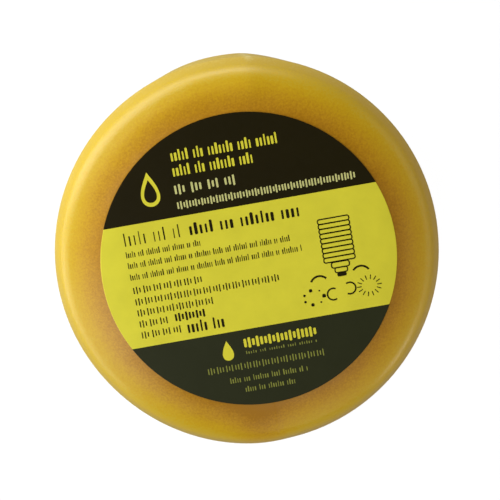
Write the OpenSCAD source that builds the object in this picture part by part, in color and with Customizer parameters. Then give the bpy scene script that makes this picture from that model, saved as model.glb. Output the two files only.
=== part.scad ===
// Bellows grease cartridge: a blow-moulded folding container full of grease, closed by a screw cap.
// It stands on its cap with the labelled end up, the way round that it is screwed into a pump.
// Millimetres, +Z up, origin at the middle of the cap's outer face.

/* [Bellows] */
// Outside diameter over the folds
fold_d = 100; // [92:1:115]
// Outside diameter at the bottom of the grooves
groove_d = 83; // [74:1:88]
// Number of folds
fold_count = 10; // [6:1:14]
// Distance from one fold to the next
fold_pitch = 10.6; // [9.5:0.1:14]
// Outside radius of a fold's rounded edge
fold_edge_r = 2.2; // [1.8:0.1:2.6]
// Outside radius at the bottom of a groove
groove_r = 1.5; // [0.8:0.1:2]
// Wall thickness of the moulding
wall = 1.1; // [0.8:0.1:1.4]

/* [Closed end] */
// Diameter of the flat panel under the label
panel_d = 76.6; // [64:0.2:84]
// How far the rim edge lies inside the outside of the folds
rim_step = 2.5; // [2:0.1:4]
// Rise of the band between the last fold and the rim edge, as the tilt of its face
band_tilt = 25; // [20:1:35]
// Outside radius of the rim edge
rim_r = 2.6; // [1.8:0.1:4]
// Tilt of the crown's face where it leaves the rim edge
crown_low_tilt = 58; // [50:1:64]
// Tilt of the crown's face where it reaches the panel
crown_high_tilt = 78; // [72:1:84]
// Outside radius of the panel's edge
panel_edge_r = 3; // [1.8:0.1:5]

/* [Neck end] */
// Slope of the shoulder under the lowest fold
shoulder_slope = 17; // [10:1:30]
// Outside radius where the shoulder meets the collar
shoulder_r = 2; // [1:0.5:4]
// Outside diameter of the collar
collar_d = 55; // [50:1:64]
// Height of the collar's side, up to the shoulder's rounding
collar_h = 9; // [5:0.5:16]
// Outside radius of the collar's lower edge
collar_edge_r = 2; // [1.6:0.1:3]
// Diameter of the neck under its thread
neck_d = 35.4; // [33:0.2:40]
// Length of the neck below the collar
neck_h = 17; // [15:0.5:24]
// Bore of the neck
neck_bore_d = 30; // [24:0.5:32]

/* [Grease] */
// Distance from the mouth to the grease
fill_drop = 1; // [0.5:0.5:5]
// Clearance between the grease and the wall
fill_gap = 0.1; // [0.05:0.05:0.3]

/* [Label] */
// Diameter of the label
label_d = 75; // [60:0.2:76]
// Thickness of the label
label_t = 0.2; // [0.1:0.05:0.4]

/* [Cap] */
// Depth of the screw thread between neck and cap
thread_h = 1.3; // [0.8:0.1:1.8]
// Clearance over the thread's crest
thread_gap = 0.4; // [0.2:0.1:0.8]
// Thickness of the cap's side, ribs included
cap_side_t = 3.2; // [2.4:0.1:5]
// Thickness of the cap's end
cap_end_t = 2.2; // [1.6:0.1:4]
// Room between the cap's open edge and the collar
cap_room = 1.2; // [0.6:0.1:3]
// Radius of the cap's outer edge
cap_edge_r = 1.6; // [0.8:0.1:2.2]
// Number of grip ribs
rib_count = 44; // [24:2:60]
// Depth of the cuts between the ribs
rib_depth = 0.7; // [0.4:0.1:1]
// Radius of the cuts between the ribs
rib_cut_r = 0.9; // [0.8:0.1:1.3]
// Chamfer inside the cap's open edge
lead_in = 0.8; // [0.4:0.1:1.2]
// Thickness of the gasket
gasket_t = 1.6; // [1:0.1:3]
// Clearance round the gasket
gasket_gap = 0.3; // [0.2:0.1:0.6]

/* [Hidden] */
$fn = 96;
arc_steps = 8;
overcut = 1;

// Levels up from the cap's outer face
mouth_z = cap_end_t + gasket_t;
collar_z = mouth_z + neck_h;
shoulder_z = collar_z + collar_h;

// Centres of the fold and groove arcs, and the tilt of the flank that touches both
fold_c = fold_d / 2 - fold_edge_r;
groove_c = groove_d / 2 + groove_r;
flank_run = fold_c - groove_c;
flank_rise = fold_pitch / 2;
flank_tilt = atan2(flank_run, flank_rise) + asin((fold_edge_r + groove_r) / norm([flank_run, flank_rise]));

// The shoulder is a straight slope from the collar's rounding to the lowest fold
shoulder_tilt = shoulder_slope - 90;
shoulder_c = [collar_d / 2 + shoulder_r, shoulder_z];
shoulder_foot = shoulder_c - shoulder_r * aim(shoulder_tilt);
shoulder_run = fold_c + fold_edge_r * cos(shoulder_tilt) - shoulder_foot.x;
first_fold_z = shoulder_foot.y + shoulder_run * tan(shoulder_slope) - fold_edge_r * sin(shoulder_tilt);
last_fold_z = first_fold_z + (fold_count - 1) * fold_pitch;

// The closed end: band, rim edge, crown and panel edge, each arc touching the next
band_foot = [fold_c, last_fold_z] + fold_edge_r * aim(band_tilt);
band_l = (band_foot.x - fold_d / 2 + rim_step) / sin(band_tilt);
band_top = band_foot + band_l * aim(band_tilt + 90);
rim_c = band_top - rim_r * aim(band_tilt);
crown_foot = rim_c + rim_r * aim(crown_low_tilt);
crown_run = crown_foot.x - panel_d / 2 - panel_edge_r * cos(crown_high_tilt);
crown_r = crown_run / (cos(crown_low_tilt) - cos(crown_high_tilt));
crown_c = crown_foot - crown_r * aim(crown_low_tilt);
panel_c = crown_c + (crown_r - panel_edge_r) * aim(crown_high_tilt);
panel_z = panel_c.y + panel_edge_r;

// The cap slips over the neck's thread
cap_bore_d = neck_d + 2 * (thread_h + thread_gap);
cap_d = cap_bore_d + 2 * cap_side_t;
cap_h = collar_z - cap_room;
gasket_d = cap_bore_d - 2 * gasket_gap;

// Unit vector in the (radius, height) plane that a face of this tilt looks along
function aim(tilt) = [cos(tilt), sin(tilt)];

// Points of a bulging arc, named by the tilt of its face at each end
function bulge(centre, radius, from, to) =
    [for (k = [0 : arc_steps]) centre + radius * aim(from + (to - from) * k / arc_steps)];

// Points of a hollow arc, named in the same way
function hollow(centre, radius, from, to) =
    [for (k = [0 : arc_steps]) centre - radius * aim(from + (to - from) * k / arc_steps)];

function reversed(points) = [for (k = [len(points) - 1 : -1 : 0]) points[k]];

// One fold of the wall, and the groove above it unless it is the last
function fold_points(index, inset) =
    let (z = first_fold_z + index * fold_pitch)
    let (low = index == 0 ? shoulder_tilt : -flank_tilt)
    let (high = index == fold_count - 1 ? band_tilt : flank_tilt)
    concat(
        bulge([fold_c, z], fold_edge_r - inset, low, high),
        index == fold_count - 1 ? []
            : hollow([groove_c, z + flank_rise], groove_r + inset, flank_tilt, -flank_tilt));

// Half section of the container from its mouth to the middle of the panel, moved in by inset
function wall_points(inset, neck_r, low_z) = concat(
    [[neck_r, low_z], [neck_r, collar_z + inset]],
    bulge([collar_d / 2 - collar_edge_r, collar_z + collar_edge_r], collar_edge_r - inset, -90, 0),
    hollow(shoulder_c, shoulder_r + inset, 0, shoulder_tilt),
    [for (index = [0 : fold_count - 1]) each fold_points(index, inset)],
    bulge(rim_c, rim_r - inset, band_tilt, crown_low_tilt),
    bulge(crown_c, crown_r - inset, crown_low_tilt, crown_high_tilt),
    bulge(panel_c, panel_edge_r - inset, crown_high_tilt, 90),
    [[0, panel_z - inset]]);

// Container: one wall of even thickness, thicker at the neck
module bellows_container() {
    outside = wall_points(0, neck_d / 2, mouth_z);
    inside = wall_points(wall, neck_bore_d / 2, mouth_z);
    color([0.88, 0.71, 0.34])
        rotate_extrude()
            polygon(concat(outside, reversed(inside)));
}

// Grease: everything inside the wall, down to just above the mouth
module grease_fill() {
    fill_z = mouth_z + fill_drop;
    surface_points = wall_points(wall + fill_gap, neck_bore_d / 2 - fill_gap, fill_z);
    color([0.66, 0.42, 0.10])
        rotate_extrude()
            polygon(concat([[0, fill_z]], surface_points));
}

// Label: a thin disc stuck on the panel
module end_label() {
    color([0.85, 0.80, 0.20])
        translate([0, 0, panel_z])
            cylinder(d = label_d, h = label_t);
}

// Cap: a cup with a rounded outer edge, a lead-in at its mouth and grip ribs round its side
module screw_cap() {
    edge_c = [cap_d / 2 - cap_edge_r, cap_edge_r];
    cup = concat(
        [[0, 0]],
        bulge(edge_c, cap_edge_r, -90, 0),
        [[cap_d / 2, cap_h],
         [cap_bore_d / 2 + lead_in, cap_h],
         [cap_bore_d / 2, cap_h - lead_in],
         [cap_bore_d / 2, cap_end_t],
         [0, cap_end_t]]);
    color([0.93, 0.93, 0.90])
        difference() {
            rotate_extrude()
                polygon(cup);
            for (rib = [0 : rib_count - 1])
                rotate(360 * rib / rib_count)
                    translate([cap_d / 2 + rib_cut_r - rib_depth, 0, 2 * cap_edge_r])
                        cylinder(r = rib_cut_r, h = cap_h - 2 * cap_edge_r + overcut);
        }
}

// Gasket: the disc that the mouth presses against the cap's end
module cap_gasket() {
    color([0.80, 0.80, 0.77])
        translate([0, 0, cap_end_t])
            cylinder(d = gasket_d, h = gasket_t);
}

bellows_container();
grease_fill();
end_label();
screw_cap();
cap_gasket();
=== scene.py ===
"""Looks of a bellows grease cartridge that stands on its cap with the labelled end up.

Metres, +Z up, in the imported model's own frame. +Y points to the top edge of the label's print.
"""

import math

import bpy
import numpy as np
from mathutils import Matrix, Vector


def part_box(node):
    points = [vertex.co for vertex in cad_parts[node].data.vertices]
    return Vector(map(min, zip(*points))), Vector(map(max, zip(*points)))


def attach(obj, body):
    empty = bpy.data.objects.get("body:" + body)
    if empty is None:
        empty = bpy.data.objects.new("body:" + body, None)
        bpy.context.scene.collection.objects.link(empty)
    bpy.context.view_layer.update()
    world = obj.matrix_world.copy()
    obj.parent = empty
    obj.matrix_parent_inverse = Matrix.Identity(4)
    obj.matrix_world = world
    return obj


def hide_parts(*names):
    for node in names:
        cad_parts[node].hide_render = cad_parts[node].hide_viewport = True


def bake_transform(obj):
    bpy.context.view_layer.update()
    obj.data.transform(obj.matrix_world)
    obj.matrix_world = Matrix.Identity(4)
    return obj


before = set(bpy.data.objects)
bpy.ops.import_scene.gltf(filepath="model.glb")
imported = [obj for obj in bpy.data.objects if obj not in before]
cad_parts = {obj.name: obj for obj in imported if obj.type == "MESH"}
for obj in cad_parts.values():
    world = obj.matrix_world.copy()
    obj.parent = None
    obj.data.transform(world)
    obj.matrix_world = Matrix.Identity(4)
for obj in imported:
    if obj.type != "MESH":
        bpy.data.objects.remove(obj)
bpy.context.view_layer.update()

MM = 0.001

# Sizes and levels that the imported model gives
container_low, container_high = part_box("bellows_container")
label_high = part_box("end_label")[1]
FOLD_R = container_high.x
MOUTH_Z = container_low.z
PANEL_Z = container_high.z
LABEL_R = label_high.x
LABEL_Z = label_high.z

# Sizes of the moulding
GROOVE_R = 41.5 * MM
FOLD_COUNT = 10
FOLD_PITCH = 10.6 * MM
FOLD_EDGE_R = 2.2 * MM
GROOVE_EDGE_R = 1.5 * MM
WALL = 1.1 * MM
PANEL_R = 37.3 * MM
PANEL_EDGE_R = 1.3 * MM
PANEL_SHIFT = (0.2 * MM, -0.15 * MM)
CROWN_BLEND = (0.3 * MM, 6.5 * MM)
SHIFT_HOLD = 1.5 * MM
RIM_STEP = 1.6 * MM
RIM_EDGE_R = 6 * MM
BAND_TILT = 25
SHOULDER_SLOPE = 17
SHOULDER_R = 2 * MM
COLLAR_R = 27.5 * MM
COLLAR_H = 9 * MM
COLLAR_EDGE_R = 2 * MM
NECK_R = 17.7 * MM
NECK_H = 17 * MM
NECK_BORE_R = 15 * MM
MOUTH_EDGE_R = 0.4 * MM
FILL_DROP = 1 * MM
FILL_GAP = 0.1 * MM

# Levels and arc centres that follow from them
collar_z = MOUTH_Z + NECK_H
shoulder_z = collar_z + COLLAR_H
fold_c = FOLD_R - FOLD_EDGE_R
groove_c = GROOVE_R + GROOVE_EDGE_R
flank_reach = math.hypot(fold_c - groove_c, FOLD_PITCH / 2)
FLANK_TILT = math.degrees(
    math.atan2(fold_c - groove_c, FOLD_PITCH / 2) + math.asin((FOLD_EDGE_R + GROOVE_EDGE_R) / flank_reach))
SHOULDER_TILT = SHOULDER_SLOPE - 90


def aim(tilt):
    """Unit vector (cos t, sin t) in the plane of radius and height, t in degrees."""
    t = np.radians(tilt)
    return np.stack([np.cos(t), np.sin(t)], axis=-1)


shoulder_c = np.array([COLLAR_R + SHOULDER_R, shoulder_z])
shoulder_foot = shoulder_c - SHOULDER_R * aim(SHOULDER_TILT)
shoulder_run = fold_c + FOLD_EDGE_R * aim(SHOULDER_TILT)[0] - shoulder_foot[0]
first_fold_z = (shoulder_foot[1] + shoulder_run * math.tan(math.radians(SHOULDER_SLOPE))
                - FOLD_EDGE_R * aim(SHOULDER_TILT)[1])
last_fold_z = first_fold_z + (FOLD_COUNT - 1) * FOLD_PITCH

band_foot = np.array([fold_c, last_fold_z]) + FOLD_EDGE_R * aim(BAND_TILT)
band_l = (band_foot[0] - FOLD_R + RIM_STEP) / aim(BAND_TILT)[1]
rim_c = band_foot + band_l * aim(BAND_TILT + 90) - RIM_EDGE_R * aim(BAND_TILT)
panel_c = np.array([PANEL_R, PANEL_Z - PANEL_EDGE_R])
crown_span = panel_c - rim_c
CROWN_TILT = math.degrees(math.atan2(crown_span[1], crown_span[0])
                          - math.acos((RIM_EDGE_R - PANEL_EDGE_R) / math.hypot(*crown_span)))

# Parting lines of the mould: two meridians, towards which the soft wall is a little oval
SEAM_ANGLES = np.radians([80, 272])
OVAL = 0.8 * MM
ROOF_H = 0.24 * MM
ROOF_SPREAD = math.radians(6.5)
STEP_H = 0.3 * MM
STEP_SPREAD = math.radians(11)
STEP_FADE = math.radians(60)
FLASH_H = 0.03 * MM
FLASH_W = 1.2 * MM
SEAM_COLUMNS = np.radians(np.linspace(-2.4, 2.4, 13))

# Paleness of the wall: its span from the panel's edge to the folds, the neck's, what the parting lines add,
# and the painted shade that takes from it behind the second line
PALE_SPAN = 0.8
PALE_NECK = 0.45
PALE_FLASH = 0.2
PAINTED_SEAM_SHADE = 0.24
PAINTED_SEAM_SHADE_BACK = 0.7 * STEP_SPREAD
PAINTED_SEAM_SHADE_SPREAD = 0.85 * STEP_SPREAD

# Screw thread between neck and cap, right-handed
THREAD_PITCH = 4 * MM
THREAD_H = 1.3 * MM
THREAD_GAP = 0.4 * MM
THREAD_FOOT_W = 2.3 * MM
THREAD_CREST_W = 1.0 * MM
THREAD_SINK = 0.15 * MM
NECK_THREAD_Z = MOUTH_Z + 2.4 * MM
NECK_THREAD_TURNS = 2.75
CAP_THREAD_Z = MOUTH_Z + 4.4 * MM
CAP_THREAD_TURNS = 1.75


# Shapes


def bulge(centre, radius, start, stop, count):
    """Bulging arc of the half section: centre + radius * (cos t, sin t), start to stop in degrees."""
    return centre + radius * aim(np.linspace(start, stop, count))


def hollow(centre, radius, start, stop, count):
    """Hollow arc of the half section: centre - radius * (cos t, sin t), start to stop in degrees."""
    return centre - radius * aim(np.linspace(start, stop, count))


def smooth_step(low, high, value):
    """0 up to low, 1 from high, and t * t * (3 - 2 t) between them."""
    t = np.clip((value - low) / (high - low), 0, 1)
    return t * t * (3 - 2 * t)


def wall_section(inset, mouth, fine):
    """Half section of the moulding from its mouth to the axis, as (radius, height) rows.

    Arc touches arc or straight: neck, collar, shoulder, folds and grooves in turn, band, rim, straight
    crown, panel. inset moves it into the wall, mouth holds its lowest points, and fine is the number of
    points on a fold.
    """
    arcs = [mouth]
    arcs.append([[mouth[-1][0], collar_z + inset]])
    collar_edge_c = np.array([COLLAR_R - COLLAR_EDGE_R, collar_z + COLLAR_EDGE_R])
    arcs.append(bulge(collar_edge_c, COLLAR_EDGE_R - inset, -90, 0, fine // 2))
    arcs.append(hollow(shoulder_c, SHOULDER_R + inset, 0, SHOULDER_TILT, fine // 2))
    for index in range(FOLD_COUNT):
        z = first_fold_z + index * FOLD_PITCH
        low = SHOULDER_TILT if index == 0 else -FLANK_TILT
        last = index == FOLD_COUNT - 1
        high = BAND_TILT if last else FLANK_TILT
        arcs.append(bulge(np.array([fold_c, z]), FOLD_EDGE_R - inset, low, high, fine))
        if not last:
            groove = np.array([groove_c, z + FOLD_PITCH / 2])
            arcs.append(hollow(groove, GROOVE_EDGE_R + inset, FLANK_TILT, -FLANK_TILT, 2 * fine // 3))
    rim = bulge(rim_c, RIM_EDGE_R - inset, BAND_TILT, CROWN_TILT, fine)
    edge = bulge(panel_c, PANEL_EDGE_R - inset, CROWN_TILT, 90, fine // 2)
    arcs += [rim, np.linspace(rim[-1], edge[0], fine)[1:-1], edge]
    top = PANEL_Z - inset
    arcs.append([[share * PANEL_R, top] for share in (0.75, 0.5, 0.25)])
    arcs.append([[0, top]])
    return np.concatenate([np.asarray(arc, float) for arc in arcs])


def new_piece(name, points, faces, material, sharp=35):
    """Mesh object at the origin, smooth up to the sharp angle in degrees."""
    mesh = bpy.data.meshes.new(name)
    mesh.from_pydata(points.tolist(), [], faces)
    mesh.shade_smooth()
    mesh.set_sharp_from_angle(angle=math.radians(sharp))
    mesh.materials.append(material)
    mesh.validate()
    piece = bpy.data.objects.new(name, mesh)
    bpy.context.scene.collection.objects.link(piece)
    return piece


def closed_shell(name, rows, first, last, material, sharp=35):
    """Closed surface of revolution: a grid (row, column, xyz) shut by a fan to one point at each end.

    Faces look outwards where the rows run from the top down the outside and the columns anticlockwise.
    """
    count, columns = rows.shape[:2]
    index = np.arange(count * columns).reshape(count, columns)
    after = np.roll(index, -1, axis=1)
    quads = np.stack([index[:-1], index[1:], after[1:], after[:-1]], axis=-1).reshape(-1, 4)
    top, low = count * columns, count * columns + 1
    cap = np.stack([np.full(columns, top), index[0], after[0]], axis=-1)
    foot = np.stack([np.full(columns, low), after[-1], index[-1]], axis=-1)
    points = np.concatenate([rows.reshape(-1, 3), [first, last]])
    return new_piece(name, points, quads.tolist() + cap.tolist() + foot.tolist(), material, sharp)


def turned(section, angles, lift=0.0):
    """Grid of a half section carried round the axis by the angles a.

    Its points are ((r + lift nr) cos a, (r + lift nr) sin a, z + lift nz), where (nr, nz) is the outward
    normal of the section and lift is one number or one for each row and column.
    """
    run = np.gradient(section, axis=0)
    run /= np.linalg.norm(run, axis=1, keepdims=True)
    radius = section[:, :1] - lift * run[:, 1:]
    height = section[:, 1:] + lift * run[:, :1]
    ones = np.ones_like(angles)[None, :]
    return np.stack([radius * np.cos(angles), radius * np.sin(angles), height * ones], axis=-1)


def columns_with_seam(count):
    """Angles of the columns round the axis, closer together at the two parting lines."""
    even = np.linspace(0, 2 * math.pi, count, endpoint=False)
    seams = (SEAM_ANGLES[:, None] + SEAM_COLUMNS).ravel()
    return np.unique(np.concatenate([even, seams]))


def from_seams(angles):
    """Angle from each parting line to each column, between -pi and pi, as one row for each line."""
    return (angles - SEAM_ANGLES[:, None] + math.pi) % (2 * math.pi) - math.pi


def seam_rise(radius, angles, share):
    """Rise of the wall at the parting lines, for each row and column, as share times a sum.

    With a the angle to the nearer line: OVAL cos(a)^2 + FLASH_H exp(-(radius a / FLASH_W)^2). At the first
    line alone ROOF_H exp(-(a / ROOF_SPREAD)^2). Behind the second alone a step STEP_H (1 - (1 - t)^2),
    where t is the angle back from it over STEP_SPREAD, up to 1. The step fades out at STEP_FADE.
    """
    apart = from_seams(angles)
    away = np.abs(apart).min(axis=0)
    back = -apart[1]
    step = (1 - (1 - np.clip(back / STEP_SPREAD, 0, 1)) ** 2) * smooth_step(STEP_FADE, STEP_SPREAD, back)
    flash = FLASH_H * np.exp(-(radius[:, None] * away / FLASH_W) ** 2)
    oval = OVAL * np.cos(np.minimum(away, math.pi / 2)) ** 2
    roof = oval + ROOF_H * np.exp(-(apart[0] / ROOF_SPREAD) ** 2)
    return share[:, None] * (flash + roof + STEP_H * step)


def container_moulding(material):
    """The blow-moulded wall, outside and inside, with its parting lines, and for every point how pale it
    is, painted shade included.

    Paleness grows with the radius from 0 at the panel's edge, darkest there from the thicker wall over the
    grease and from painted shade, to PALE_SPAN on the thin outer edges of the folds. The trimmed parting
    lines add to it, and painted shade takes from it behind the second line, as a bell curve of the angle.
    """
    lip_z = MOUTH_Z + MOUTH_EDGE_R
    lip = bulge(np.array([NECK_R - MOUTH_EDGE_R, lip_z]), MOUTH_EDGE_R, -90, 0, 5)
    inner_lip = hollow(np.array([NECK_BORE_R + MOUTH_EDGE_R, lip_z]), MOUTH_EDGE_R, 90, 0, 5)
    outside = wall_section(0, lip, 14)[::-1]
    inside = wall_section(WALL, inner_lip, 8)
    section = np.concatenate([outside, inside])[1:-1]
    radius, height = section[:, 0], section[:, 1]
    is_outside = np.arange(len(section)) < len(outside) - 1
    on_crown = smooth_step(PANEL_R + CROWN_BLEND[0], PANEL_R + CROWN_BLEND[1], radius)
    above_collar = smooth_step(collar_z, shoulder_z, height)
    share = is_outside * above_collar * np.where(height > last_fold_z, on_crown, 1)
    angles = columns_with_seam(160)
    rows = turned(section, angles, seam_rise(radius, angles, share))
    on_panel = is_outside * (height > rim_c[1]) * smooth_step(rim_c[0], PANEL_R + SHIFT_HOLD, radius)
    rows[..., :2] += on_panel[:, None, None] * np.array(PANEL_SHIFT)
    piece = closed_shell("container_moulding", rows, (0, 0, PANEL_Z), (0, 0, PANEL_Z - WALL), material)
    # Darkest at the panel's edge: partly the thicker wall over the grease, partly painted shade
    from_panel = np.clip((radius - PANEL_R) / (FOLD_R - PANEL_R), 0, 1)
    at_neck = PALE_NECK * smooth_step(first_fold_z, shoulder_z, height)
    paleness_with_painted_shade = np.where(height < first_fold_z, np.maximum(at_neck, from_panel), from_panel)
    away = np.abs(from_seams(angles)).min(axis=0)
    below_rim = share * (height < rim_c[1])
    trimmed = PALE_FLASH * below_rim[:, None] * np.exp(-(radius[:, None] * away / FLASH_W) ** 2)
    # Painted shade: a darker stripe along the step behind the second parting line
    behind = -from_seams(angles)[1] - PAINTED_SEAM_SHADE_BACK
    above_neck = is_outside & (height > collar_z)
    painted_seam_shade = PAINTED_SEAM_SHADE * above_neck[:, None] * np.exp(-(behind / PAINTED_SEAM_SHADE_SPREAD) ** 2)
    tone = PALE_SPAN * paleness_with_painted_shade[:, None] + trimmed - painted_seam_shade
    values = np.concatenate([tone.ravel(), [0, 0]]).astype(np.float32)
    piece.data.attributes.new("paleness_with_painted_shade", "FLOAT", "POINT").data.foreach_set("value", values)
    return piece


def grease_body(material):
    """The grease inside the wall: the same section moved in, with a low spiral swirl on its open face.

    Swirl: z = face + swirl_h * sin(2 pi r / swirl_pitch - a), fading out at the middle and at the bore.
    """
    swirl_h, swirl_pitch = 0.22 * MM, 4.2 * MM
    face_z = MOUTH_Z + FILL_DROP
    bore_r = NECK_BORE_R - FILL_GAP
    outside = wall_section(WALL + FILL_GAP, [[bore_r, face_z]], 6)[::-1]
    face_radii = np.linspace(bore_r, 0, 36)[1:-1]
    face = np.stack([face_radii, np.full_like(face_radii, face_z)], axis=1)
    section = np.concatenate([outside[1:], face])
    angles = np.linspace(0, 2 * math.pi, 96, endpoint=False)
    rows = turned(section, angles)
    radius = section[:, :1]
    fade = smooth_step(0, 3 * MM, radius) * smooth_step(bore_r, bore_r - 2 * MM, radius)
    swirl = swirl_h * fade * np.sin(2 * math.pi * radius / swirl_pitch - angles)
    on_face = np.arange(len(section)) >= len(outside) - 1
    rows[..., 2] += swirl * on_face[:, None]
    top = PANEL_Z - WALL - FILL_GAP
    return closed_shell("grease_body", rows, (0, 0, top), (0, 0, face_z), material, sharp=60)


def thread_ridge(name, material, root_r, crest_r, low_z, turns):
    """A trapezium carried along a right-handed helix: (r cos a, r sin a, low_z + pitch a / 2 pi).

    It rises from root_r to crest_r and runs out smoothly into the wall over a sixth of a turn at each end.
    """
    steps = int(turns * 72) + 1
    turn = np.linspace(0, 2 * math.pi * turns, steps)
    run_out = math.pi / 3
    full = smooth_step(0, run_out, turn) * smooth_step(turn[-1], turn[-1] - run_out, turn)
    sink = THREAD_SINK * np.sign(crest_r - root_r)
    width = np.array([THREAD_FOOT_W, THREAD_CREST_W, THREAD_CREST_W, THREAD_FOOT_W])
    side = np.array([-0.5, -0.5, 0.5, 0.5])
    tall = np.array([0, 1, 1, 0])
    reach = root_r - sink + (crest_r - root_r + sink) * np.maximum(full, 0.02)[:, None] * tall
    angle = turn[:, None]
    height = low_z + THREAD_PITCH * angle / (2 * math.pi) + width * side
    points = np.stack([reach * np.cos(angle), reach * np.sin(angle), height], axis=-1)
    index = np.arange(steps * 4).reshape(steps, 4)
    after = np.roll(index, -1, axis=1)
    quads = np.stack([index[:-1], index[1:], after[1:], after[:-1]], axis=-1).reshape(-1, 4)
    ends = np.stack([index[0], index[-1][::-1]])
    if crest_r < root_r:
        quads, ends = quads[:, ::-1], ends[:, ::-1]
    return new_piece(name, points.reshape(-1, 3), quads.tolist() + ends.tolist(), material)


# Print of the label, laid out in millimetres: u to the right of the print, v towards its top edge

UPPER_EDGE = 14.2
LOWER_EDGE = -17.3
FIELD_INK = 0.012 * MM
ROW_INK = 0.024 * MM
FIELD_OVER = 0.02
BAR_ROUNDING = 0.8
STROKE_GROUPS = np.array([5, 3, 7, 4, 6, 2, 8])


def rounded_bars(bars, turns=0.0):
    """Outlines of rounded bars, given as rows (u, v, half length, half height) and a turn in radians.

    Before the turn: (a - c) sign(cos t) + c cos t along and (b - c) sign(sin t) + c sin t across, with c
    the corner's radius.
    """
    bars = np.asarray(bars, float)
    t = np.linspace(0, 2 * math.pi, 16, endpoint=False) + math.pi / 16
    a, b = bars[:, 2:3], bars[:, 3:4]
    corner = BAR_ROUNDING * np.minimum(a, b)
    along = (a - corner) * np.sign(np.cos(t)) + corner * np.cos(t)
    across = (b - corner) * np.sign(np.sin(t)) + corner * np.sin(t)
    turns = np.broadcast_to(np.asarray(turns, float), len(bars))[:, None]
    u = bars[:, 0:1] + along * np.cos(turns) - across * np.sin(turns)
    v = bars[:, 1:2] + along * np.sin(turns) + across * np.cos(turns)
    return np.stack([u, v], axis=-1)


def stroke_row(left, right, foot, height, pitch, weight=0.45):
    """Upright strokes in groups, in the place of a row of print: stroke k stands at left + pitch (k + 1/2).

    Its half width is weight * pitch * (1 + 0.25 sin(1.7 k)) / 2, and it is 1.35 times as tall where
    sin(2.4 k + left) > 0.6. The groups of STROKE_GROUPS are one stroke apart.
    """
    group_ends = np.cumsum(STROKE_GROUPS + 1) - 1
    k = np.arange(int((right - left) / pitch))
    k = k[~np.isin(k % (group_ends[-1] + 1), group_ends)]
    half_w = weight * pitch * (1 + 0.25 * np.sin(1.7 * k)) / 2
    half_h = height * np.where(np.sin(2.4 * k + left) > 0.6, 1.35, 1) / 2
    return rounded_bars(np.stack([left + pitch * (k + 0.5), foot + half_h, half_w, half_h], axis=1))


def cell_row(left, right, foot, size, count, weight=0.2):
    """Evenly spaced cells of three upright strokes, in the place of a row of separate signs.

    The strokes of cell k stand 0.38 size apart, and stroke j is size * (0.8 + 0.2 sin(2.1 j + 1.3 k)) tall.
    """
    k, j = np.divmod(np.arange(3 * count), 3)
    u = np.linspace(left + size / 2, right - size / 2, count)[k] + 0.38 * size * (j - 1)
    half_h = size * (0.8 + 0.2 * np.sin(2.1 * j + 1.3 * k)) / 2
    half_w = np.full(3 * count, weight * size / 2)
    return rounded_bars(np.stack([u, np.full(3 * count, foot + size / 2), half_w, half_h], axis=1))


def round_field(edge, upper):
    """Outline of the part of the label's disc above or below a straight edge: an arc and its chord."""
    radius = LABEL_R / MM + FIELD_OVER
    start = math.asin(edge / radius)
    stop = math.pi - start
    if not upper:
        start, stop = stop, 2 * math.pi + start
    return radius * aim(np.degrees(np.linspace(start, stop, 128)))[None]


def drop_outline(u, v, size):
    """Outline of an oil drop, point up: (-0.75 sin t sin(t/2)^1.3, cos t) times size, t round the drop."""
    t = np.linspace(0, 2 * math.pi, 64, endpoint=False)
    across = -0.75 * np.sin(t) * np.sin(t / 2) ** 1.3
    return np.stack([u + size * across, v + size * np.cos(t)], axis=-1)[None]


def arc_band(u, v, radius, width, start, stop):
    """Outline of a bent bar: an arc of the outer radius and back along the inner one, angles in degrees."""
    there = np.linspace(start, stop, 24)
    outer = (radius + width / 2) * aim(there)
    inner = (radius - width / 2) * aim(there[::-1])
    return np.array([u, v]) + np.concatenate([outer, inner])[None]


def ink_flat(name, outlines, ink, material, foot_z=LABEL_Z):
    """Thin flat prints: each outline, anticlockwise, becomes a plate from foot_z to the ink's thickness."""
    points, faces, base = [], [], 0
    for group in outlines:
        plates, count = group.shape[:2]
        flat = np.asarray(group, float) * MM
        top = np.concatenate([flat, np.full((plates, count, 1), LABEL_Z + ink)], axis=-1)
        foot = np.concatenate([flat, np.full((plates, count, 1), foot_z)], axis=-1)
        points.append(np.concatenate([top.reshape(-1, 3), foot.reshape(-1, 3)]))
        index = base + np.arange(plates * count).reshape(plates, count)
        under = index + plates * count
        after, under_after = np.roll(index, -1, axis=1), np.roll(under, -1, axis=1)
        sides = np.stack([index, under, under_after, after], axis=-1).reshape(-1, 4)
        faces += index.tolist() + under[:, ::-1].tolist() + sides.tolist()
        base += 2 * plates * count
    return new_piece(name, np.concatenate(points), faces, material)


def ink_lines(name, loops, width, ink, material):
    """Closed lines of print: a flat rectangle carried round each loop, half its width to either side."""
    points, faces, base = [], [], 0
    for loop in loops:
        path = np.asarray(loop, float)
        run = np.roll(path, -1, axis=1) - np.roll(path, 1, axis=1)
        run /= np.linalg.norm(run, axis=-1, keepdims=True)
        off = np.stack([run[..., 1], -run[..., 0]], axis=-1) * width / 2
        levels = (LABEL_Z, LABEL_Z + ink, LABEL_Z + ink, LABEL_Z)
        corners = [np.concatenate([(path + side * off) * MM, np.full(path.shape[:2] + (1,), z)], axis=-1)
                   for side, z in zip((1, 1, -1, -1), levels)]
        grid = np.stack(corners, axis=2)
        count = grid.shape[0] * grid.shape[1] * 4
        index = base + np.arange(count).reshape(grid.shape[:3])
        ahead = np.roll(index, -1, axis=1)
        across, both = np.roll(index, -1, axis=2), np.roll(ahead, -1, axis=2)
        faces += np.stack([index, ahead, both, across], axis=-1).reshape(-1, 4).tolist()
        points.append(grid.reshape(-1, 3))
        base += count
    return new_piece(name, np.concatenate(points), faces, material)


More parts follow.
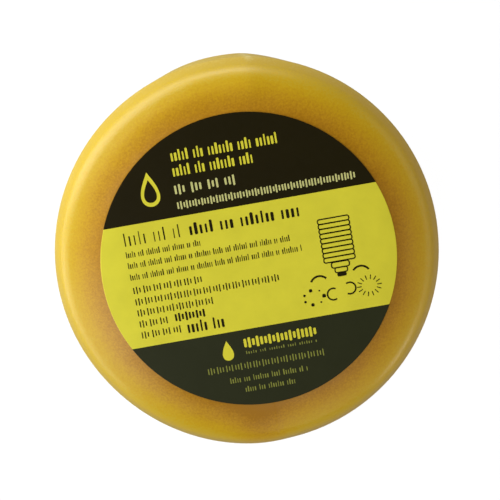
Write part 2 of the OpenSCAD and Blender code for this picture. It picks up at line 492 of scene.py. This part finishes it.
def label_film(material):
    """The label: a thin disc with a rounded upper edge, turned from its half section."""
    edge = 0.12 * MM
    rim = bulge(np.array([LABEL_R - edge, LABEL_Z - edge]), edge, 90, 0, 7)
    flat = [[share * LABEL_R, LABEL_Z] for share in (0.25, 0.5, 0.75)]
    foot = [[LABEL_R, PANEL_Z], [0.5 * LABEL_R, PANEL_Z]]
    section = np.concatenate([np.array(flat), rim, np.array(foot)])
    angles = np.linspace(0, 2 * math.pi, 256, endpoint=False)
    return closed_shell("label_film", turned(section, angles), (0, 0, LABEL_Z), (0, 0, PANEL_Z), material)


# Materials

NOISE_ROUGHNESS = 0.55


def colour(red, green, blue):
    """Linear colour of an 8-bit screen colour."""
    screen = np.array([red, green, blue]) / 255
    linear = np.where(screen <= 0.04045, screen / 12.92, ((screen + 0.055) / 1.055) ** 2.4)
    return (*linear.tolist(), 1.0)


def new_material(name, **sockets):
    """A material with one Principled shader, its constant sockets set by name."""
    material = bpy.data.materials.new(name)
    material.use_nodes = True
    shader = material.node_tree.nodes["Principled BSDF"]
    for key, value in sockets.items():
        shader.inputs[key.replace("_", " ")].default_value = value
    return material, shader


def add_node(material, kind, settings=None, inputs=None):
    """Adds a node, sets its own settings, and sets or links its inputs."""
    tree = material.node_tree
    node = tree.nodes.new(kind)
    for key, value in (settings or {}).items():
        setattr(node, key, value)
    for key, value in (inputs or {}).items():
        if isinstance(value, bpy.types.NodeSocket):
            tree.links.new(value, node.inputs[key])
        else:
            node.inputs[key].default_value = value
    return node


def noise(material, scale, detail):
    """Cloud pattern on Object coordinates: scale in features a metre."""
    place = add_node(material, "ShaderNodeTexCoord")
    cloud = add_node(material, "ShaderNodeTexNoise", inputs={
        "Vector": place.outputs["Object"], "Scale": scale, "Detail": detail, "Roughness": NOISE_ROUGHNESS})
    return cloud.outputs["Fac"]


def spread(material, value, low, high):
    """Maps the middle of a cloud pattern, 0.3 to 0.7, to low and high."""
    return add_node(material, "ShaderNodeMapRange", inputs={
        "Value": value, "From Min": 0.3, "From Max": 0.7, "To Min": low, "To Max": high}).outputs["Result"]


def ramp(material, value, stops):
    """Colour ramp through (place, colour) stops."""
    node = add_node(material, "ShaderNodeValToRGB", inputs={"Fac": value})
    elements = node.color_ramp.elements
    while len(elements) < len(stops):
        elements.new(0.5)
    for element, (place, shade) in zip(elements, stops):
        element.position = place
        element.color = shade
    return node.outputs["Color"]


def bumps(material, shader, layers):
    """Chains bump layers, each (pattern, height in metres), into the shader's normal."""
    normal = None
    for pattern, height in layers:
        inputs = {"Height": pattern, "Distance": height, "Strength": 1.0}
        if normal is not None:
            inputs["Normal"] = normal
        normal = add_node(material, "ShaderNodeBump", inputs=inputs).outputs["Normal"]
    material.node_tree.links.new(normal, shader.inputs["Normal"])


def milky_plastic():
    """A milky wall over grease, as opaque colour: dark amber where it is thicker and under painted shade,
    pale on thin edges.
    """
    material, shader = new_material(
        "milky_plastic", IOR=1.36, Specular_IOR_Level=0.8, Specular_Tint=(1, 0.97, 0.88, 1))
    pale = add_node(material, "ShaderNodeAttribute", settings={"attribute_name": "paleness_with_painted_shade"}).outputs["Fac"]
    cloud = spread(material, noise(material, 70, 3), -0.03, 0.03)
    speck = spread(material, noise(material, 1900, 3), -0.11, 0.11)
    mixed = add_node(material, "ShaderNodeMath", inputs={0: pale, 1: cloud}).outputs[0]
    mixed = add_node(material, "ShaderNodeMath", inputs={0: mixed, 1: speck}).outputs[0]
    # The stop at 0.62 falls on the rim and is a little lighter, a painted highlight; the one at 0.71 falls
    # on the band and is a little darker, painted shade
    shade = ramp(material, mixed, [
        (0.0, colour(181, 123, 8)), (0.15, colour(198, 141, 17)), (0.3, colour(211, 158, 19)),
        (0.48, colour(220, 175, 18)), (0.62, colour(219, 182, 46)), (0.71, colour(213, 174, 48)),
        (0.8, colour(216, 181, 70)), (1.0, colour(228, 202, 116))])
    material.node_tree.links.new(shade, shader.inputs["Base Color"])
    rough = spread(material, noise(material, 300, 4), 0.31, 0.40)
    material.node_tree.links.new(rough, shader.inputs["Roughness"])
    bumps(material, shader, [(noise(material, 60, 2), 0.12 * MM), (noise(material, 2600, 2), 0.03 * MM)])
    return material


def label_ink(name, shade, rough, specular):
    """Printed film under a satin laminate: slow ripples, fine grain in the gloss, slightly uneven ink."""
    material, shader = new_material(name, Specular_IOR_Level=specular)
    dark = tuple(0.93 * part for part in shade[:3]) + (1.0,)
    ink = ramp(material, noise(material, 130, 4), [(0.35, dark), (0.65, shade)])
    material.node_tree.links.new(ink, shader.inputs["Base Color"])
    gloss = spread(material, noise(material, 700, 3), rough - 0.03, rough + 0.05)
    material.node_tree.links.new(gloss, shader.inputs["Roughness"])
    bumps(material, shader, [(noise(material, 38, 1.5), 0.22 * MM)])
    return material


def amber_grease():
    """Soft shiny grease with faint clouds."""
    material, shader = new_material(
        "amber_grease", Roughness=0.28, Subsurface_Weight=0.2, Subsurface_Scale=2 * MM)
    cloud = noise(material, 160, 5)
    shade = ramp(material, cloud, [(0.3, colour(150, 96, 24)), (0.7, colour(186, 128, 44))])
    material.node_tree.links.new(shade, shader.inputs["Base Color"])
    bumps(material, shader, [(noise(material, 240, 3), 0.15 * MM)])
    return material


def cap_plastic():
    """Moulded white polyethylene, slightly creamy, satin, with fine grain."""
    material, shader = new_material("cap_plastic", Specular_IOR_Level=0.5)
    cloud = noise(material, 90, 3)
    shade = ramp(material, cloud, [(0.3, colour(226, 225, 217)), (0.7, colour(238, 237, 231))])
    material.node_tree.links.new(shade, shader.inputs["Base Color"])
    rough = spread(material, noise(material, 500, 3), 0.38, 0.5)
    material.node_tree.links.new(rough, shader.inputs["Roughness"])
    bumps(material, shader, [(noise(material, 1800, 3), 0.008 * MM)])
    return material


def gasket_foam():
    """Matt white foam with fine closed cells."""
    material, shader = new_material("gasket_foam", Roughness=0.85, Specular_IOR_Level=0.25)
    place = add_node(material, "ShaderNodeTexCoord").outputs["Object"]
    voronoi = add_node(material, "ShaderNodeTexVoronoi", inputs={"Vector": place, "Scale": 1600.0})
    cells = voronoi.outputs["Distance"]
    shade = ramp(material, cells, [(0.0, colour(226, 225, 219)), (0.7, colour(206, 205, 198))])
    material.node_tree.links.new(shade, shader.inputs["Base Color"])
    bumps(material, shader, [(cells, 0.06 * MM)])
    return material


# Pieces on their bodies


def on_closed_end(piece):
    """The label and its print sit a little off the axis and come down with the closed end."""
    piece.data.transform(Matrix.Translation((*PANEL_SHIFT, 0)))
    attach(piece, "closed_end")
    return piece


def build_container():
    """The moulding and its grease, and the neck's thread."""
    moulding = container_moulding(milky_plastic())
    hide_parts("bellows_container")
    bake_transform(moulding)
    ridge = thread_ridge("neck_thread", moulding.data.materials[0], NECK_R, NECK_R + THREAD_H,
                         NECK_THREAD_Z, NECK_THREAD_TURNS)
    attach(ridge, "container")
    grease = grease_body(amber_grease())
    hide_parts("grease_fill")
    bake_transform(grease)


def build_cap():
    """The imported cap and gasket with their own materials, and the thread inside the cap."""
    white = cap_plastic()
    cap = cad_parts["screw_cap"]
    cap.data.materials.clear()
    cap.data.materials.append(white)
    bore_r = NECK_R + THREAD_H + THREAD_GAP
    ridge = thread_ridge("cap_thread", white, bore_r, bore_r - THREAD_H, CAP_THREAD_Z, CAP_THREAD_TURNS)
    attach(ridge, "cap")
    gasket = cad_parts["cap_gasket"]
    gasket.data.materials.clear()
    gasket.data.materials.append(gasket_foam())


def build_label():
    """The film, its two dark fields, and rows of plain strokes and cells in the places of the print."""
    yellow = label_ink("label_yellow", colour(247, 235, 65), 0.36, 0.15)
    black = label_ink("label_black", colour(38, 32, 10), 0.38, 0.1)
    # The lower field is the black ink lightened to olive by a painted sheen
    black_painted_sheen = label_ink("label_black_painted_sheen", colour(50, 52, 29), 0.38, 0.15)
    cream = label_ink("label_cream", colour(226, 222, 140), 0.38, 0.15)
    moss = label_ink("label_moss", colour(150, 152, 66), 0.38, 0.15)
    film = on_closed_end(label_film(yellow))
    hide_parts("end_label")
    upper_field, lower_field = round_field(UPPER_EDGE, True), round_field(LOWER_EDGE, False)
    on_closed_end(ink_flat("label_upper_field", [upper_field], FIELD_INK, black, PANEL_Z))
    on_closed_end(ink_flat("label_lower_field", [lower_field], FIELD_INK, black_painted_sheen, PANEL_Z))

    title = [stroke_row(-15.0, 13.6, 28.1, 2.1, 0.94, 0.55), stroke_row(-15.2, 6.0, 24.3, 2.1, 0.94, 0.55)]
    drop, drop_middle = drop_outline(-21.5, 22.2, 4.4), drop_outline(-21.5, 21.7, 2.9)
    on_closed_end(ink_flat("label_title_rows", [*title, drop], ROW_INK, yellow))
    on_closed_end(ink_flat("label_drop_middle", [drop_middle], ROW_INK + FIELD_INK, black))
    notes = [cell_row(-15.4, 0.0, 19.6, 2.7, 4), cell_row(-15.4, 29.9, 15.9, 2.1, 20)]
    on_closed_end(ink_flat("label_note_rows", notes, ROW_INK, cream))

    rows = [stroke_row(-30.6, -15.6, 9.0, 2.5, 1.25, 0.24), stroke_row(-13.8, 16.8, 9.0, 2.3, 1.3, 0.5)]
    rows += [stroke_row(-30.5, right, foot, 1.2, 0.52) for right, foot in (
        (-10.9, 6.0), (11.5, 3.2), (14.0, 0.2))]
    rows += [cell_row(-30.3, right, foot, 2.0, count, 0.15) for right, foot, count in (
        (-12.6, -3.5, 7), (6.7, -6.5, 15), (-10.8, -9.4, 8), (-23.0, -12.3, 3), (-20.1, -15.2, 4))]
    rows += [cell_row(-21.1, -13.4, -12.3, 2.3, 3, 0.22), stroke_row(-18.7, -6.8, -15.7, 2.2, 1.1, 0.5)]
    on_closed_end(ink_flat("label_text_rows", rows, ROW_INK, black))
    build_figures(black)

    lower_title = [cell_row(-5.0, 13.7, -22.2, 2.8, 6, 0.25), drop_outline(-9.4, -22.0, 2.6)]
    on_closed_end(ink_flat("label_lower_title", lower_title, ROW_INK, yellow))
    small = [stroke_row(-5.0, 13.7, -23.7, 0.6, 0.6, 0.4), cell_row(-15.4, 14.8, -27.6, 1.9, 13, 0.15),
             stroke_row(-10.3, 10.3, -30.7, 1.1, 0.6), stroke_row(-6.8, 6.8, -33.5, 1.1, 0.6)]
    on_closed_end(ink_flat("label_lower_rows", small, ROW_INK, moss))


def build_figures(black):
    """A plain figure of a folded container over its neck, and small signs of dots, bent bars and ticks."""
    middle_u = 22.6
    fold_v = 6.6 - 1.25 * np.arange(9)
    folds = rounded_bars([[middle_u, v, 4.0, 0.62] for v in fold_v])
    neck = rounded_bars([[middle_u, -4.9, 2.3, 0.75], [middle_u, -6.3, 1.6, 0.65]])
    on_closed_end(ink_lines("label_figure_lines", [folds, neck], 0.32, ROW_INK, black))
    tip = rounded_bars([[middle_u, -7.5, 1.2, 0.5]])
    around = np.linspace(0, 2 * math.pi, 14, endpoint=False)
    ticks = np.stack([29.0 + 2.6 * np.cos(around), -11.6 + 2.2 * np.sin(around),
                      np.full(14, 0.6), np.full(14, 0.12)], axis=1)
    around_dots = around[::2]
    dot_r = 0.34 + 0.14 * np.cos(3 * around_dots)
    dots = np.stack([14.6 + 2.6 * np.cos(around_dots), -12.2 + 1.9 * np.sin(around_dots),
                     dot_r, dot_r], axis=1)
    bends = [arc_band(19.6, -12.2, 1.5, 0.4, 60, 300), arc_band(24.0, -11.4, 1.5, 0.4, -120, 120),
             arc_band(16.6, -9.4, 2.4, 0.5, 40, 150), arc_band(27.4, -8.6, 2.4, 0.5, 30, 140)]
    marks = [tip, rounded_bars(ticks, around), rounded_bars(dots), *bends]
    on_closed_end(ink_flat("label_figure_marks", marks, ROW_INK, black))


# Floor, lights and camera

VIEW_DISTANCE = 0.330
VIEW_TILT = math.radians(9.1)
VIEW_SIDE = math.radians(-1)
PRINT_TURN = math.radians(10)
VIEW_SHIFT = (0.42 * MM, 2.62 * MM)
VIEW_LENS = 94.0
FLOOR_Z = -0.05 * MM
FLOOR_HALF = 4.0
FLOOR_CLEAR = 0.86
FLOOR_PALE = 0.92
FLOOR_GREY = 0.22
FLOOR_SHINE = 0.25
SURROUNDINGS = 0.09
DAYLIGHT = (0.9, 0.98, 1.15)
LAMPLIGHT = (1.0, 0.9, 0.65)


def build_floor():
    """A wide plain floor with a faint shadow.

    To the camera it is mostly clear over the white surroundings, in gloss it is dim white, and to other
    light it is grey.
    """
    corners = np.array([[u * FLOOR_HALF, v * FLOOR_HALF, FLOOR_Z] for u, v in (
        (-1, -1), (1, -1), (1, 1), (-1, 1))])
    material = bpy.data.materials.new("floor_white")
    material.use_nodes = True
    tree = material.node_tree
    tree.nodes.remove(tree.nodes["Principled BSDF"])
    paths = add_node(material, "ShaderNodeLightPath")
    seen = paths.outputs["Is Camera Ray"]
    mirrored = paths.outputs["Is Glossy Ray"]
    share = add_node(material, "ShaderNodeMath", {"operation": "MULTIPLY"},
                     {0: seen, 1: FLOOR_CLEAR}).outputs[0]
    grey = add_node(material, "ShaderNodeMath", {"operation": "MULTIPLY_ADD"},
                    {0: seen, 1: FLOOR_PALE - FLOOR_GREY, 2: FLOOR_GREY}).outputs[0]
    pale = add_node(material, "ShaderNodeBsdfDiffuse", inputs={"Color": grey}).outputs[0]
    clear = add_node(material, "ShaderNodeBsdfTransparent").outputs[0]
    mixed = add_node(material, "ShaderNodeMixShader", inputs={0: share, 1: pale, 2: clear}).outputs[0]
    shine = add_node(material, "ShaderNodeEmission", inputs={"Strength": FLOOR_SHINE}).outputs[0]
    surface = add_node(material, "ShaderNodeMixShader", inputs={0: mirrored, 1: mixed, 2: shine}).outputs[0]
    tree.links.new(surface, tree.nodes["Material Output"].inputs["Surface"])
    material.cycles.emission_sampling = "NONE"
    floor = new_piece("floor", corners, [[0, 1, 2, 3]], material)


def build_world():
    """Even dim surroundings, white to the camera."""
    world = bpy.data.worlds.new("studio")
    bpy.context.scene.world = world
    world.use_nodes = True
    ground = world.node_tree.nodes["Background"]
    ground.inputs["Color"].default_value = (1, 1, 1, 1)
    seen = add_node(world, "ShaderNodeLightPath").outputs["Is Camera Ray"]
    level = add_node(world, "ShaderNodeMath", {"operation": "ADD"}, {0: seen, 1: SURROUNDINGS}).outputs[0]
    world.node_tree.links.new(level, ground.inputs["Strength"])


def panel_light(name, target, turn, rise, away, width, height, watts, tint=(1, 1, 1)):
    """A soft box that faces target from away metres, turn degrees round the axis and rise degrees up."""
    turn, rise = math.radians(turn), math.radians(rise)
    level = math.cos(rise)
    towards = Vector((math.cos(turn) * level, math.sin(turn) * level, math.sin(rise)))
    place = target + away * towards
    light = bpy.data.lights.new(name, "AREA")
    light.shape = "RECTANGLE"
    light.size = width
    light.size_y = height
    light.energy = watts
    light.color = tint
    lamp = bpy.data.objects.new(name, light)
    lamp.location = place
    lamp.rotation_euler = (target - place).to_track_quat("-Z", "Y").to_euler()
    bpy.context.scene.collection.objects.link(lamp)


def build_lights():
    """Daylight from the left, warmer light from the right, and soft fill, round the middle of the label."""
    middle = Vector((0, 0, LABEL_Z))
    folds_middle = Vector((0, 0, 80 * MM))
    panel_light("key_strip", middle, 135, 14, 0.42, 0.40, 0.28, 1.5, DAYLIGHT)
    panel_light("left_box", middle, 205, 55, 0.55, 0.30, 0.25, 0.68)
    panel_light("left_sheen_box", middle, 210, 40, 0.55, 0.25, 0.20, 0.36)
    panel_light("left_strip", middle, 197, 9, 0.50, 0.45, 0.28, 0.85, DAYLIGHT)
    panel_light("left_low_box", middle, 168, -9, 0.50, 0.55, 0.09, 0.55, DAYLIGHT)
    panel_light("far_low_box", middle, 90, 4, 0.60, 0.40, 0.15, 1.35)
    panel_light("right_spot", middle, 313, 4, 0.40, 0.10, 0.04, 0.1)
    panel_light("right_wall", middle, -14, 14, 0.70, 1.30, 0.40, 1.9, LAMPLIGHT)
    panel_light("low_front_box", folds_middle, 282, 38, 0.95, 0.50, 0.50, 0.8)


def build_camera():
    """Camera over the label, tilted towards the print's top edge and rolled so that its rows rise."""
    axis = Vector((0, 0, 1))
    away = Vector((-math.sin(VIEW_SIDE), math.cos(VIEW_SIDE), 0))
    side = Vector((math.cos(VIEW_SIDE), math.sin(VIEW_SIDE), 0))
    ahead = -math.sin(VIEW_TILT) * away - math.cos(VIEW_TILT) * axis
    lean = math.cos(VIEW_TILT) * away - math.sin(VIEW_TILT) * axis
    roll = PRINT_TURN + VIEW_SIDE
    right = math.cos(roll) * side - math.sin(roll) * lean
    up = math.sin(roll) * side + math.cos(roll) * lean
    place = Vector((0, 0, LABEL_Z)) - VIEW_DISTANCE * ahead + VIEW_SHIFT[0] * right + VIEW_SHIFT[1] * up
    camera = bpy.data.cameras.new("camera")
    camera.lens = VIEW_LENS
    camera.sensor_width = 36
    camera.clip_start = 0.01
    seat = bpy.data.objects.new("camera", camera)
    seat.matrix_world = Matrix((
        (right.x, up.x, -ahead.x, place.x), (right.y, up.y, -ahead.y, place.y),
        (right.z, up.z, -ahead.z, place.z), (0, 0, 0, 1)))
    bpy.context.scene.collection.objects.link(seat)
    bpy.context.scene.camera = seat


build_camera()
build_container()
build_cap()
build_label()
build_floor()
build_world()
build_lights()
bpy.context.scene.view_settings.view_transform = "Standard"
